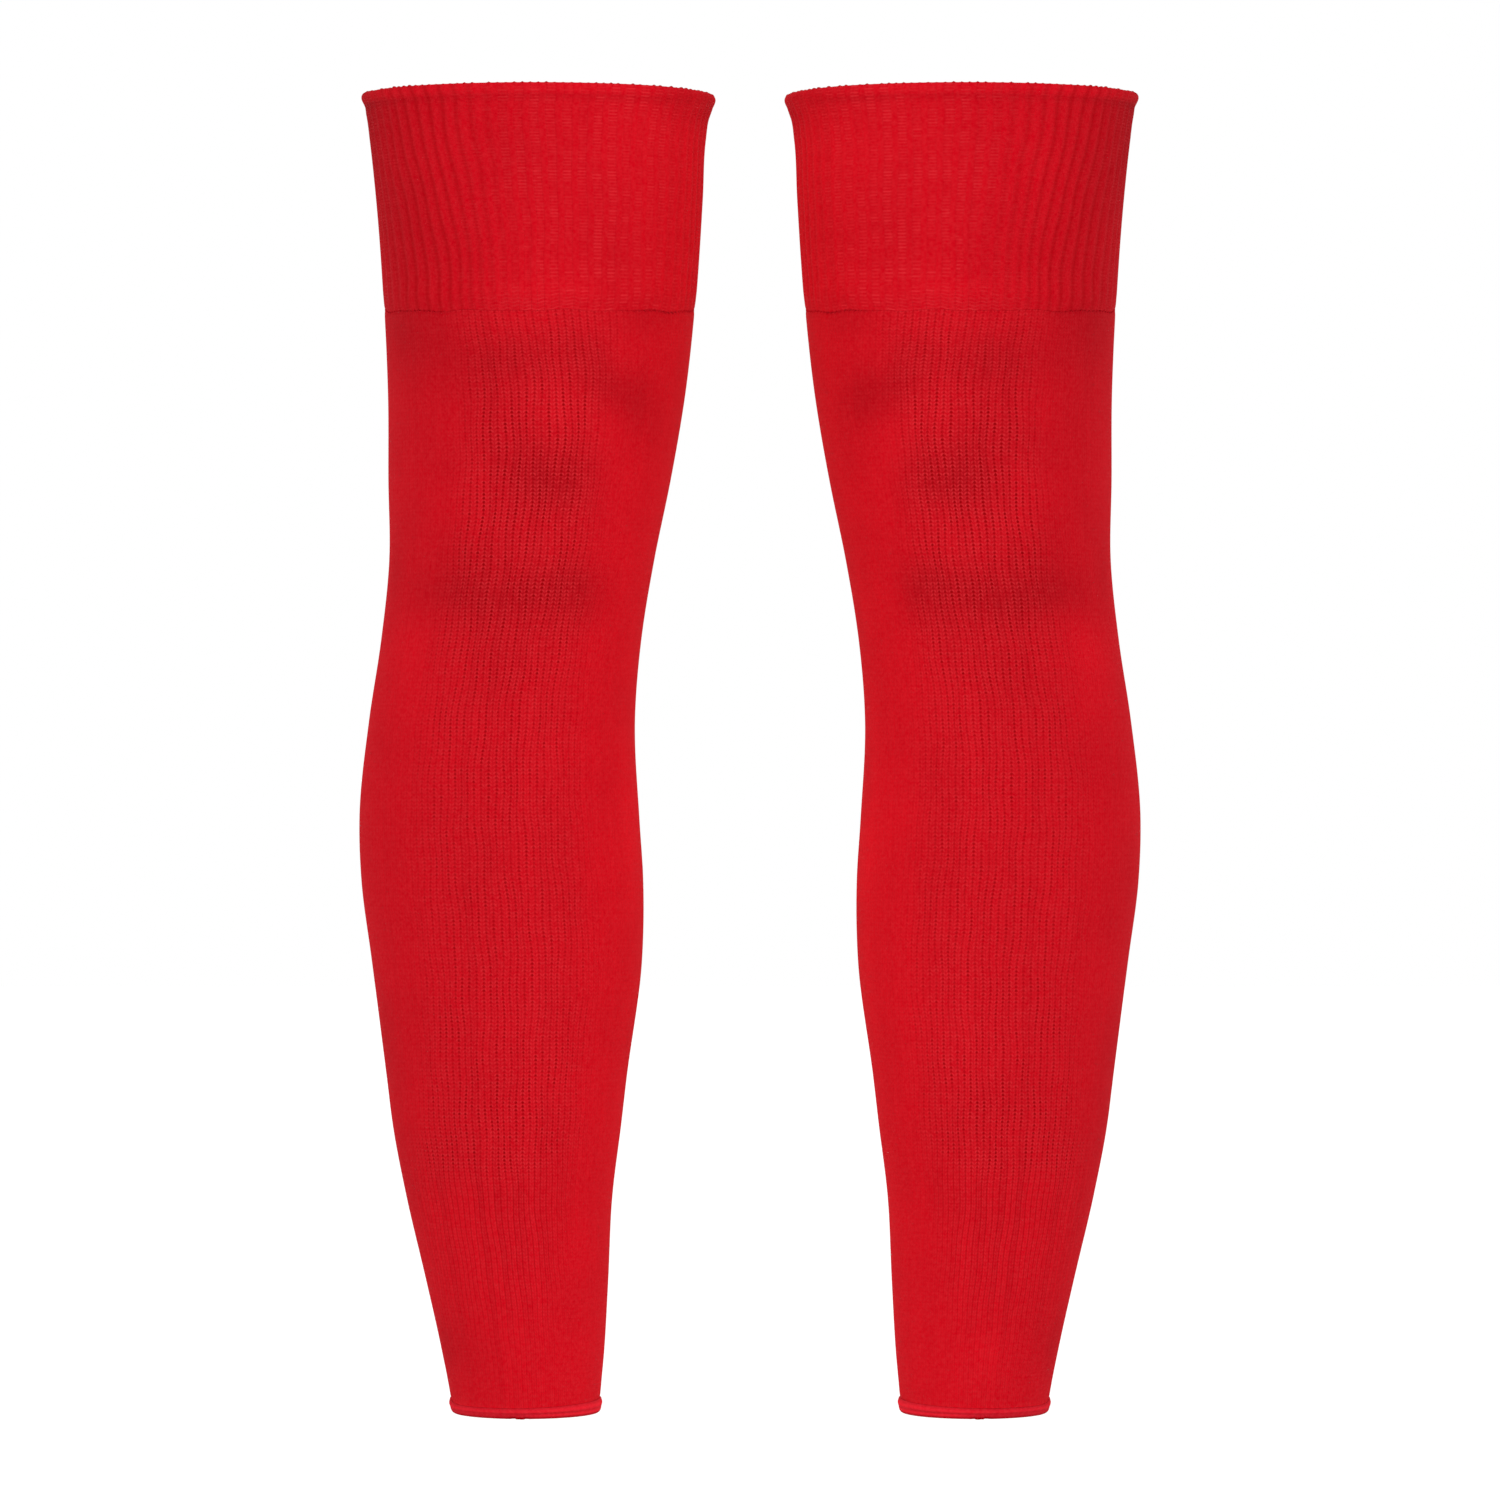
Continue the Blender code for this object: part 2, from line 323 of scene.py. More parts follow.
def wale_turns(heights, columns):
    """The turn of each column at each height: t + s sin t, where s grows down to the ankle, plus a twist
    under the cuff, an angle times a fade of t, and a wander that is gone at both ends: the product of two
    cross waves, plus a finer one."""
    even = np.linspace(0, 2 * np.pi, columns, endpoint=False)
    level = heights[:, None]
    turns = even + np.interp(level, *FRONT_SPREAD) * np.sin(even)
    rise = np.clip((level - TWIST_START) / (CUFF_SEAM_HEIGHT - TWIST_START), 0, 1)
    twist = rise**TWIST_POWER * fade(degrees_from(turns, TWIST_TURN), TWIST_SPREAD)
    first, second, fine = (cross_wave(level, even, *row) for row in KNIT_WAVES)
    wander = smooth_step(*WANDER_STARTS, level) * (1 - smooth_step(*WANDER_ENDS, level))
    wander = wander * (first * second + FINE_WAVE * fine)
    return turns + np.radians(TWIST) * twist + np.radians(KNIT_WANDER) * wander


def sag(heights, turns):
    """How far the cloth hangs lower at the front: at the hem and at the cuff's seam a root of the cosine,
    gone above and below them. The hem's upper edge sinks further, and the seam runs in low uneven waves."""
    front = np.sqrt(np.clip(np.cos(turns), 0, 1))
    turned = degrees_from(turns, 0)
    sunk = smooth_step(*SINK_STARTS, turned) * (1 - smooth_step(*SINK_ENDS, turned))
    at_hem = HEM_DIP * front * fade(heights, HEM_DIP_REACH)
    at_hem = at_hem + HEM_SINK * sunk * fade(heights - HEM_SEAM_HEIGHT, HEM_SINK_REACH)
    from_seam = heights - CUFF_SEAM_HEIGHT
    at_seam = SEAM_DIP * front * fade(from_seam, SEAM_DIP_REACH)
    at_seam = at_seam + waves(SEAM_WAVES, turns) * fade(from_seam, SEAM_WAVE_REACH)
    return at_hem + at_seam


def seam_depth(turns):
    """How deep the cuff's seam is drawn in, as a share: not at the front, fully towards the sides."""
    return SEAM_SHALLOW + (1 - SEAM_SHALLOW) * smooth_step(*SEAM_TURNS, np.abs(degrees_from(turns, 0)))


def beside_front(turns):
    """0 over the front and 1 from the sides on round the back: a smooth step of the cosine."""
    return smooth_step(*FRONT_COSINES, np.cos(turns))


def count_courses(heights, course):
    """Courses up to each row of a profile: the distance along it, divided by a course's height."""
    steps = np.abs(np.diff(heights)) / course
    return np.concatenate([[0], np.cumsum(steps), [np.sum(steps) + 1]])


def leg_painted_shading(level, turns, low, high):
    """The leg's painted shading: its patches of painted shade and light, plus painted shade under the cuff,
    less painted light just above the hem.
    """
    under_cuff = SEAM_SHADE * seam_depth(turns) * fade(high - level, SEAM_SHADE_REACH, 1)
    over_hem = EDGE_LIGHT * fade(level - low, EDGE_LIGHT_REACH, 1)
    over_hem = over_hem * smooth_step(*EDGE_LIGHT_TURNS, degrees_from(turns, 0))
    return bells(PAINTED_SHADING_BELLS, level, turns) + under_cuff - over_hem


def plain_leg(name, side):
    """The leg's closed wall: rows up the outside, then down the inside, at the section's surface plus the
    wales' relief, minus exp(-distance / reach) times a depth at each end."""
    low = HEM_SEAM_HEIGHT + SEAM_GAP / 2 - SEAM_CLOSE
    high = CUFF_SEAM_HEIGHT - SEAM_GAP / 2 + SEAM_CLOSE
    ends = np.array([0, EDGE_STRIP, *LEG_EDGE_ROWS])
    body = np.linspace(low + OUTSIDE_START, high - OUTSIDE_START, LEG_ROWS_OUTSIDE - 2 * len(ends))
    outside = np.concatenate([low + ends, body, high - ends[::-1]])
    inside = np.linspace(high - INSIDE_START, low + INSIDE_START, LEG_ROWS_INSIDE - 4)
    inside = np.concatenate([[high, high - EDGE_STRIP], inside, [low + EDGE_STRIP, low]])
    heights = np.concatenate([outside, inside])
    level = heights[:, None]
    is_inside = np.arange(len(heights))[:, None] >= len(outside)
    columns = WALES * WALE_POINTS
    turns = wale_turns(heights, columns)
    open_knit = openness(level, turns)
    crest = -np.cos(2 * np.pi * np.arange(columns) / WALE_POINTS)
    relief = WALE_RELIEF * (CLOSED_RELIEF + (1 - CLOSED_RELIEF) * open_knit) * crest
    roll = EDGE_ROLL * seam_depth(turns) * fade(high - level, EDGE_ROLL_REACH, 1)
    waist = WAIST * beside_front(turns) * fade(level - low, WAIST_REACH, 1)
    out = np.where(is_inside, -LEG_THICKNESS, relief - roll - waist)
    change = ANKLE_KNIT_TOP - ANKLE_KNIT_BLEND, ANKLE_KNIT_TOP + ANKLE_KNIT_BLEND
    ankle = 1 - smooth_step(*change, level + waves(ANKLE_WAVES, turns))
    course = ANKLE_COURSE + (LEG_COURSE - ANKLE_COURSE) * smooth_step(*change, heights)
    values = {
        "open": open_knit * (1 - ankle),
        "ankle": open_knit * ankle,
        # painted shade and painted light on the leg's colour
        "painted_shading": leg_painted_shading(level, turns, low, high),
        "inside": is_inside,
    }
    points = skin(side, level - sag(level, turns), turns, out)
    return closed_wall(name, side, points, WALE_POINTS, count_courses(heights, course[1:]), values)


legs = {word: plain_leg(f"plain_leg_{word}", side) for word, side in SIDES.items()}

# %% [markdown]
# The cuff is a wide band of ribs, two wales to a rib, knitted double and turned over at the rim. A rib is
# a smooth raised band beside a narrow trough where the cross threads show. Its relief is made in the
# points, twelve to a rib, with the crest rounded by a power of a cosine. The ribs are stretched nearly
# flat at the front, stand out at the sides, lean a little on the outer side and fade out just above the
# seam. At the rim the fold leans out into a lip, over a faint groove, and its ends lie a little lower. The
# tiny uneven loops along its top edge come from a wave of one wale whose height is drawn at random from a
# fixed seed.

# %% The ribbed cuff
RIB_POINTS = 12
RIB_RELIEF = 0.8
# Each row: turn and share of the relief
RIB_SHARES = np.array((
    (-180, 0.7), (-120, 0.7), (-70, 0.6), (-48, 0.35), (-25, 0.2), (4, 0.25), (20, 0.6),
    (34, 0.85), (52, 0.85), (66, 0.6), (88, 0.6), (120, 1.0), (180, 0.7),
)).T
CUFF_COURSE = 1.32
CUFF_ROWS_OUTSIDE, CUFF_ROWS_INSIDE = 58, 26
CUFF_EDGE_ROWS, CUFF_BODY_START = (0.4, 0.9, 1.6, 2.5), 3.6
CUFF_INSIDE_TOP, CUFF_INSIDE_END = 546.0, 3.0
RIB_WANDER, RIB_WAVES = 0.45, ((7, 9), (17, -5))
LIP_START = 540.5
# Each row: height, distance out and share of the ribs' height
LIP = np.array((
    (542.6, -0.05, 1.0), (544.2, -0.20, 0.8), (545.5, -0.22, 0.5), (546.5, 0.05, 0.3),
    (547.4, 0.38, 0.2), (548.3, 0.70, 0.15), (549.2, 0.85, 0.15), (550.0, 0.75, 0.15),
    (550.6, 0.30, 0.15), (550.8, -0.45, 0.15), (550.6, -1.30, 0.15), (550.2, -1.95, 0.15),
    (549.4, -2.40, 0.15), (548.0, -2.60, 0.15),
)).T
LOOP_HEIGHT, LOOP_SEED, LOOP_LOWEST, LOOPS_FROM = 0.5, 7, 0.1, (549.6, 550.6)
RIB_FADE, RIB_POWER, RIB_MIDDLE, INSIDE_RIBS = 9.0, 0.65, 0.6, 0.15
CUFF_ROLL, CUFF_ROLL_REACH = 0.6, 0.7
RIM_ENDS = [Bell(*row) for row in (
    (551, -92, 6, 42, -0.7), (551, 90, 6, 36, -0.3),
)]
CUFF_FLARE, CUFF_FLARE_REACH, FLARE_COSINES = 0.9, 6.0, (0.2, 0.8)
RIB_LEAN, RIB_LEAN_TURN, RIB_LEAN_SPREAD = 12.0, 50, 36
# Painted light over the whole cuff, painted shade on its outer side, and at the rim painted shade in the
# groove and a painted highlight on the lip
CUFF_LIGHT = 0.06
CUFF_SHADE, CUFF_SHADE_TURN, CUFF_SHADE_SPREAD = 0.19, 82, 50
GROOVE_SHADE, LIP_GROOVE, LIP_GROOVE_SPREAD = 0.12, 545.0, 1.0
LIP_LIGHT, LIP_MIDDLE, LIP_SPREAD, LIP_TURNS = 0.10, 548.9, 2.0, (-75, -30)
SEAM_THREADS_UP, SEAM_THREADS_TURN, SEAM_THREADS_SPREAD = 9.0, 4, 34
# Patches of painted shade (positive amounts) and painted light (negative amounts) on the cuff's colour
CUFF_PAINTED_SHADING_BELLS = [Bell(*row) for row in (
    (543, -84, 9, 26, 0.24), (547, -50, 6, 26, 0.08), (546, 84, 9, 26, 0.08), (549, 60, 3, 40, -0.08),
    (549, -58, 3, 42, 0.10), (528, 80, 36, 26, 0.17), (464, -50, 5, 40, 0.08), (500, -96, 40, 14, 0.05),
    (500, -46, 40, 26, 0.045), (469, 4, 5, 36, -0.06), (538, 35, 26, 26, -0.06), (510, 30, 40, 20, -0.07),
    (541, -46, 13, 32, 0.06), (488, -27, 24, 18, 0.06),
)]


def rib_turns(to_seam, rib):
    """The turn of each column at each height: even round the sleeve, less a lean at the outer side that
    is gone at the rim, plus a wander that is the product of two cross waves."""
    turns = 2 * np.pi * rib / RIBS
    lean = np.radians(RIB_LEAN) * fade(degrees_from(turns, RIB_LEAN_TURN), RIB_LEAN_SPREAD)
    turns = turns - lean * (1 - smooth_step(0, RIM_HEIGHT - CUFF_SEAM_HEIGHT, to_seam))
    first, second = (cross_wave(to_seam, turns, *row) for row in RIB_WAVES)
    return turns + np.radians(RIB_WANDER) * first * second


def rim_loops(heights, rib):
    """The rim's loops, 0 to 1: for each wale a random height times a squared half wave of sine."""
    rng = np.random.default_rng(LOOP_SEED)
    tall = rng.uniform(LOOP_LOWEST, 1.0, WALES)[np.arange(len(rib)) * 2 // RIB_POINTS]
    wave = np.clip(np.sin(4 * np.pi * rib - np.pi / 2), 0, 1) ** 2
    return smooth_step(*LOOPS_FROM, heights) * tall * wave


def cuff_painted_shading(heights, turns):
    """The cuff's painted shading: painted shade on the outer side less an even painted light, patches of
    painted shade and light, and at the rim a groove's painted shade less the lip's painted highlight, both
    gone towards the inner side."""
    side_shade = CUFF_SHADE * fade(degrees_from(turns, CUFF_SHADE_TURN), CUFF_SHADE_SPREAD, 4)
    rim = GROOVE_SHADE * fade(heights - LIP_GROOVE, LIP_GROOVE_SPREAD)
    rim = rim - LIP_LIGHT * fade(heights - LIP_MIDDLE, LIP_SPREAD, 4)
    rim = rim * smooth_step(*LIP_TURNS, degrees_from(turns, 0))
    return side_shade - CUFF_LIGHT + bells(CUFF_PAINTED_SHADING_BELLS, heights, turns) + rim


def ribbed_cuff(name, side):
    """The cuff's closed wall: up the outside, over the lip's steps, and down the inside. Its ribs are a
    height times (half a turn of cosine, 0 to 1) to a power. Above the seam it flares by a^2 exp(1 - a^2),
    where a is the distance from the seam in reaches."""
    low = CUFF_SEAM_HEIGHT + SEAM_GAP / 2 - SEAM_CLOSE
    ends = low + np.array([0, EDGE_STRIP, *CUFF_EDGE_ROWS])
    outside = np.concatenate([ends, np.linspace(low + CUFF_BODY_START, LIP_START, CUFF_ROWS_OUTSIDE)])
    lip_heights, lip_out, lip_ribs = LIP
    inside = np.linspace(CUFF_INSIDE_TOP, low + CUFF_INSIDE_END, CUFF_ROWS_INSIDE)
    inside = np.concatenate([inside, [low + EDGE_STRIP, low]])
    heights = np.concatenate([outside, lip_heights, inside])[:, None]
    row = np.arange(len(heights))[:, None]
    is_outside, is_inside = row < len(outside), row >= len(outside) + len(lip_out)
    to_seam = heights - low
    rib = np.arange(RIBS * RIB_POINTS) / RIB_POINTS
    turns = rib_turns(to_seam, rib)
    away = to_seam / CUFF_FLARE_REACH
    flare = CUFF_FLARE * away**2 * np.exp(1 - away**2) * smooth_step(*FLARE_COSINES, np.cos(turns))
    roll = CUFF_ROLL * seam_depth(turns) * fade(to_seam, CUFF_ROLL_REACH, 1)
    out = np.concatenate([np.zeros(len(outside)), lip_out, np.full(len(inside), -CUFF_THICKNESS)])
    ribs = np.concatenate([smooth_step(0, RIB_FADE, outside - low), lip_ribs,
                           np.full(len(inside), INSIDE_RIBS)])
    share = np.interp(degrees_from(turns, 0), *RIB_SHARES)
    wave = (0.5 - 0.5 * np.cos(2 * np.pi * rib)) ** RIB_POWER - RIB_MIDDLE
    shape = out[:, None] + RIB_RELIEF * ribs[:, None] * share * wave + is_outside * (flare - roll)
    loops = rim_loops(heights, rib)
    up = heights - sag(heights, turns) + LOOP_HEIGHT * loops + bells(RIM_ENDS, heights, turns)
    near_seam = fade(to_seam, SEAM_THREADS_UP)
    near_seam = near_seam * fade(degrees_from(turns, SEAM_THREADS_TURN), SEAM_THREADS_SPREAD, 4)
    values = {
        # painted shade and painted light on the cuff's outside
        "painted_shading": np.where(is_inside, 0, cuff_painted_shading(heights, turns)),
        "loop": loops,
        "seam": near_seam * ~is_inside,
        "rib": share,
    }
    courses = count_courses(heights[:, 0], CUFF_COURSE)
    return closed_wall(name, side, skin(side, up, turns, shape), RIB_POINTS / 2, courses, values)


cuffs = {word: ribbed_cuff(f"ribbed_cuff_{word}", side) for word, side in SIDES.items()}

# %% [markdown]
# The hem is the knit's own edge, turned and rolled so that it can't run: two small rounded bands with a fine
# groove between them. Its profile is a short list of points, made into a smooth closed curve by a
# Catmull-Rom spline. Low beads follow the wales, and at one place at the front, where the last loops were
# linked off, the beads are coarser and uneven. At the sides the bands bulge a little more. Inside, a low
# ridge stands behind the leg's end, as the turned part of a real hem does, so that no light falls through
# between the two. Its colour carries painted light and painted shade: a painted highlight along the upper
# band, where it faces the light from above, and a weaker one on the lower band towards the inner side;
# painted shade in the groove and along the lowest edge; and a faint even painted shade over the whole hem.

# %% The turned hem
# Each row: height and distance out
HEM_PROFILE = np.array((
    (0.60, -1.70), (0.02, -1.20), (0.12, -0.62), (0.70, -0.14), (1.50, 0.08),
    (2.20, 0.09), (2.60, 0.09), (3.00, 0.17), (3.70, 0.30), (4.50, 0.32),
    (5.30, 0.12), (5.90, -0.02), (5.96, -0.70), (5.88, -1.38), (6.60, -1.66),
    (6.55, -1.95), (5.30, -2.05), (3.40, -2.00), (1.60, -1.95),
)).T
HEM_STEPS, HEM_COURSES = 3, 9
HEM_BEAD, HEM_OUTSIDE = 0.05, (-1.4, 0.2)
HEM_BULGE, BULGE_MIDDLE, BULGE_SPREAD = 0.3, 3.6, 2.0
# Painted shade over the whole hem and in its groove, painted highlights on its bands, and painted shade
# along its lowest edge
HEM_SHADE, HEM_LIGHT = 0.04, 0.32
HEM_GROOVE_SHADE, GROOVE_HEIGHT, GROOVE_SPREAD = 0.14, 2.6, 0.45
GROOVE_STARTS, GROOVE_ENDS, GROOVE_LOST = (-70, -40), (0, 30), 0.85
UPPER_BAND, UPPER_SPREAD, LOWER_BAND, LOWER_SPREAD = 4.1, 0.95, 1.6, 0.60
LOWER_LIGHT, LOWER_INNER_LIGHT, LOWER_TURNS = 0.05, 0.8, (10, -25)
HEM_LOW_SHADE, LOW_FROM, LOW_TOP = 0.75, 0.2, 1.5
LINK_TURN, LINK_SPREAD, LINK_TOP = 4.0, 8.0, (1.2, 3.0)
LINK_BEAD, LINK_DROP, LINK_SEED = 0.21, 0.25, 3


def round_spline(values, steps):
    """A closed Catmull-Rom curve through the values, with that many steps between each two."""
    before, after, beyond = np.roll(values, 1), np.roll(values, -1), np.roll(values, -2)
    part = (np.arange(steps) / steps)[None, :]
    a, b, c, d = (column[:, None] for column in (before, values, after, beyond))
    curve = b + part * (c - a) / 2 + part**2 * (a - 2.5 * b + 2 * c - d / 2)
    curve = curve + part**3 * (-a + 3 * b - 3 * c + d) / 2
    return curve.ravel()


def turned_hem(name, side):
    """The hem's closed wall: the splined profile carried round, plus a cosine bead on every wale, a bulge
    at the sides and random beads at the link."""
    heights, out = (round_spline(column, HEM_STEPS)[:, None] for column in HEM_PROFILE)
    columns = WALES * WALE_POINTS
    turns = wale_turns(heights[:, 0], columns)
    turned = degrees_from(turns, 0)
    bead = -np.cos(2 * np.pi * np.arange(columns) / WALE_POINTS)
    rng = np.random.default_rng(LINK_SEED)
    rough = rng.uniform(-1, 1, WALES)[np.arange(columns) // WALE_POINTS]
    link = fade(degrees_from(turns, LINK_TURN), LINK_SPREAD, 4) * (1 - smooth_step(*LINK_TOP, heights))
    bulge = HEM_BULGE * beside_front(turns) * fade(heights - BULGE_MIDDLE, BULGE_SPREAD)
    beads = HEM_BEAD * bead + LINK_BEAD * link * (bead + rough)
    shape = out + smooth_step(*HEM_OUTSIDE, out) * (bulge + beads)
    up = heights - sag(heights, turns) + LINK_DROP * link * rough
    # Painted shade in the groove, and painted highlights on the upper band and, towards the inner side, the
    # lower one
    groove = HEM_GROOVE_SHADE * fade(heights - GROOVE_HEIGHT, GROOVE_SPREAD)
    groove = groove * smooth_step(*GROOVE_STARTS, turned)
    groove = groove * (1 - GROOVE_LOST * smooth_step(*GROOVE_ENDS, turned))
    upper, lower = fade(heights - UPPER_BAND, UPPER_SPREAD), fade(heights - LOWER_BAND, LOWER_SPREAD)
    lower = lower * (LOWER_LIGHT + LOWER_INNER_LIGHT * smooth_step(*LOWER_TURNS, turned))
    # the hem's painted shading, and painted shade along its lowest edge
    values = {
        "painted_shading": HEM_SHADE + groove - HEM_LIGHT * (upper + lower),
        "low": HEM_LOW_SHADE * (1 - smooth_step(LOW_FROM, LOW_TOP, heights)) * (1 + link),
    }
    courses = np.linspace(0, HEM_COURSES, len(heights) + 1)
    return closed_wall(name, side, skin(side, up, turns, shape), WALE_POINTS, courses, values)


hems = {word: turned_hem(f"turned_hem_{word}", side) for word, side in SIDES.items()}

# %% [markdown]
# Cuff and leg are linked loop by loop. What shows of it is a thin line of small slanted stitches down in
# the seam. They are one yarn: a tube whose path goes round the sleeve in the seam's groove and sways up
# and down once for each wale.

# %% The linking yarn in the seam
YARN_RADIUS, YARN_POINTS, YARN_SIDES = 0.28, 8, 6
YARN_SWAY, YARN_DEPTH, YARN_HIDDEN, YARN_DEPTH_SWAY = 0.55, 0.6, 0.25, 0.15


def linking_yarn(name, side):
    """A closed tube: at each point of the path, a small circle across the seam, radius r, set on the wall.
    The path's height sways by a sine, and its depth by a cosine, once for each wale."""
    count = WALES * YARN_POINTS
    turns = np.linspace(0, 2 * np.pi, count, endpoint=False)[None, :]
    phase = WALES * turns
    middle = YARN_SWAY * np.sin(phase) - sag(CUFF_SEAM_HEIGHT, turns)
    depth = YARN_DEPTH_SWAY * np.cos(phase) - YARN_DEPTH - YARN_HIDDEN * (1 - seam_depth(turns))
    round_yarn = np.linspace(0, 2 * np.pi, YARN_SIDES, endpoint=False)[:, None]
    up = middle - YARN_RADIUS * np.cos(round_yarn)
    out = depth + YARN_RADIUS * np.sin(round_yarn)
    points = skin(side, np.full_like(up, CUFF_SEAM_HEIGHT), np.broadcast_to(turns, up.shape), out)
    points[..., 2] += up * MM
    return closed_wall(name, side, points, YARN_POINTS, np.linspace(0, 1, YARN_SIDES + 1), {})


yarns = {word: linking_yarn(f"linking_yarn_{word}", side) for word, side in SIDES.items()}

# %% [markdown]
# The materials are built from a few shared effects, each a node group: the plain stitch, the rib stitch,
# the purl side that shows inside, and the small unevenness of dyed yarn. A group only works out numbers
# and colours from the UV map or the place on the cloth; the shader itself stays in each material. To let
# a formula read as one, each node's result is kept as a value that can be added, multiplied and so on,
# and every such step adds the Math node that does it.

# %% Values that add shader nodes
class Value:
    """What a node gives: a number, or a vector, colour or shader that is only passed on. Each sign, +, -, *
    or /, and abs(), adds the Math node that works it out."""

    def __init__(self, tree, socket):
        self.tree, self.socket = tree, socket

    def __add__(self, other):
        return calc("ADD", self, other)

    def __sub__(self, other):
        return calc("SUBTRACT", self, other)

    def __rsub__(self, other):
        return calc("SUBTRACT", other, self)

    def __mul__(self, other):
        return calc("MULTIPLY", self, other)

    def __truediv__(self, other):
        return calc("DIVIDE", self, other)

    def __abs__(self):
        return calc("ABSOLUTE", self)

    __radd__, __rmul__ = __add__, __mul__


def add(tree, kind, inputs=(), **settings):
    """Adds a node. Each input, by its name or number, takes a plain value or one that a node gives."""
    node = tree.nodes.new(kind)
    for name, setting in settings.items():
        setattr(node, name, setting)
    for key, value in dict(inputs).items():
        if isinstance(value, Value):
            tree.links.new(value.socket, node.inputs[key])
        else:
            node.inputs[key].default_value = value
    return node


def take(tree, kind, output, inputs=(), **settings):
    """Adds a node and gives one of its outputs."""
    return Value(tree, add(tree, kind, inputs, **settings).outputs[output])


def calc(operation, *values, clamp=False):
    """Adds a Math node to the tree of its values."""
    tree = next(value.tree for value in values if isinstance(value, Value))
    return take(tree, "ShaderNodeMath", 0, dict(enumerate(values)), operation=operation, use_clamp=clamp)


def clamp(value):
    """The value, held between 0 and 1."""
    return calc("ADD", value, 0.0, clamp=True)


def off_middle(value):
    """|value's fraction - 0.5|: 0 half-way between two whole numbers and 0.5 at each of them."""
    return abs(calc("FRACT", value) - 0.5)


def arch(value):
    """|sin(pi x value)|: a rounded arch from each whole number to the next."""
    return abs(calc("SINE", np.pi * value))


def ramp(value, low, high, to_low=0.0, to_high=1.0):
    """A smooth step of the value, from to_low at low to to_high at high."""
    inputs = {"Value": value, "From Min": low, "From Max": high, "To Min": to_low, "To Max": to_high}
    return take(value.tree, "ShaderNodeMapRange", "Result", inputs, interpolation_type="SMOOTHSTEP")


def flat_place(x, y):
    """A vector of two numbers."""
    return take(x.tree, "ShaderNodeCombineXYZ", 0, {"X": x, "Y": y})


def stitch_chance(column, course):
    """A random number for each stitch, drawn from its column and the whole number of its course."""
    stitch = flat_place(column, calc("FLOOR", course))
    return take(column.tree, "ShaderNodeTexWhiteNoise", "Value", {"Vector": stitch}, noise_dimensions="2D")


def slow_patches(column, course, across, along):
    """A slow noise that differs from column to column and changes gently along each one."""
    inputs = {"Vector": flat_place(across * column, along * course), "Scale": 1.0, "Detail": 2.0}
    return take(column.tree, "ShaderNodeTexNoise", "Fac", inputs, noise_dimensions="2D")


FLOAT, COLOUR = "NodeSocketFloat", "NodeSocketColor"
WHITE = (1, 1, 1, 1)


def new_group(name, **usual):
    """A node group with an input for each name and usual value. Gives its tree and the inputs' values."""
    tree = bpy.data.node_groups.new(name, "ShaderNodeTree")
    for title, value in usual.items():
        kind = COLOUR if value is WHITE else FLOAT
        tree.interface.new_socket(title, in_out="INPUT", socket_type=kind).default_value = value
    given = tree.nodes.new("NodeGroupInput").outputs
    return tree, [Value(tree, given[title]) for title in usual]


def give(tree, results, kind=FLOAT):
    """Ends a group: an output for each result, all of one kind."""
    for title in results:
        tree.interface.new_socket(title, in_out="OUTPUT", socket_type=kind)
    add(tree, "NodeGroupOutput", results)
    print("group", tree.name, "has", len(tree.nodes), "nodes")
    return tree


# %% [markdown]
# In plain knit each wale is a column of V-shaped stitches. Across one wale the yarn is highest on the two
# legs of the V and lowest in the gap to the next wale; along it, each course adds a rounded leg that
# slants up and outwards. Where the knit is stretched, the gap opens once in each course into a small
# round dark hole. No two holes are quite alike, and along some stretches of a wale all are faint.

# %% Group: plain stitch
LEG_DOME, LEG_LEAST = 3.6, 0.35
GAP_WIDTH, GAP_HEIGHT, GAP_DEPTH = 0.5, 0.42, 0.8
GAP_CHANCE, GAP_PATCHES, GAP_SIZES = 0.6, (0.77, 0.09), (0.3, 0.7, 0.55, 1.35)
VALLEY = (0.62, 1.0)


def build_plain_stitch():
    """Height: a dome across the wale times an arch for each slanted course, less the gap. Gap: 1 - (distance
    across)^2 - (distance up)^2, times openness, chance and slow patches."""
    tree, (wale, course, opened) = new_group("plain_stitch", Wale=0.0, Course=0.0, Open=0.0)
    across = 2 * off_middle(wale)
    leg_round = arch(course - across / 2)
    dome = 1 - LEG_DOME * (across - 0.5) * (across - 0.5)
    side_way = (1 - across) / GAP_WIDTH
    up_way = (calc("FRACT", course) - 0.5) / GAP_HEIGHT
    hole = clamp(1 - side_way * side_way - up_way * up_way)
    column = calc("ROUND", wale)
    chance = stitch_chance(column, course)
    patches = slow_patches(column, course, *GAP_PATCHES)
    size = GAP_CHANCE * (1 + chance) * ramp(patches, *GAP_SIZES)
    gap = clamp(hole * opened * size)
    return give(tree, {
        "Height": dome * (0.5 + 0.5 * leg_round) - GAP_DEPTH * gap,
        "Gap": gap,
        "Valley": ramp(across, *VALLEY),
        "Leg": clamp(leg_round * leg_round * dome * (chance + LEG_LEAST)),
    })


plain_stitch = build_plain_stitch()

# %% [markdown]
# In the rib, one half of each repeat is smooth knit and the other half is the lower ground between ribs,
# where the cross threads of each course lie open as fine level lines. These lines catch the light only here
# and there, so a slow noise decides where they show as a painted highlight.

# %% Group: rib stitch
THREAD_SWAY, THREAD_EDGES, THREAD_PATCHES, THREAD_SHOWS = 0.22, (0.36, 0.10), (0.43, 0.16), (0.25, 0.65)
THREAD_HEIGHT, THREAD_LEAST, SEAM_GROUND = 0.7, 0.35, 0.7
GROUND, TROUGH_SHADE = (0.30, 0.55), (0.42, 0.92)
NOTCH, NOTCH_SHARPNESS, NOTCH_DEPTH = 0.48, 7.0, 0.5
RIB_LEG_HEIGHT = 0.5


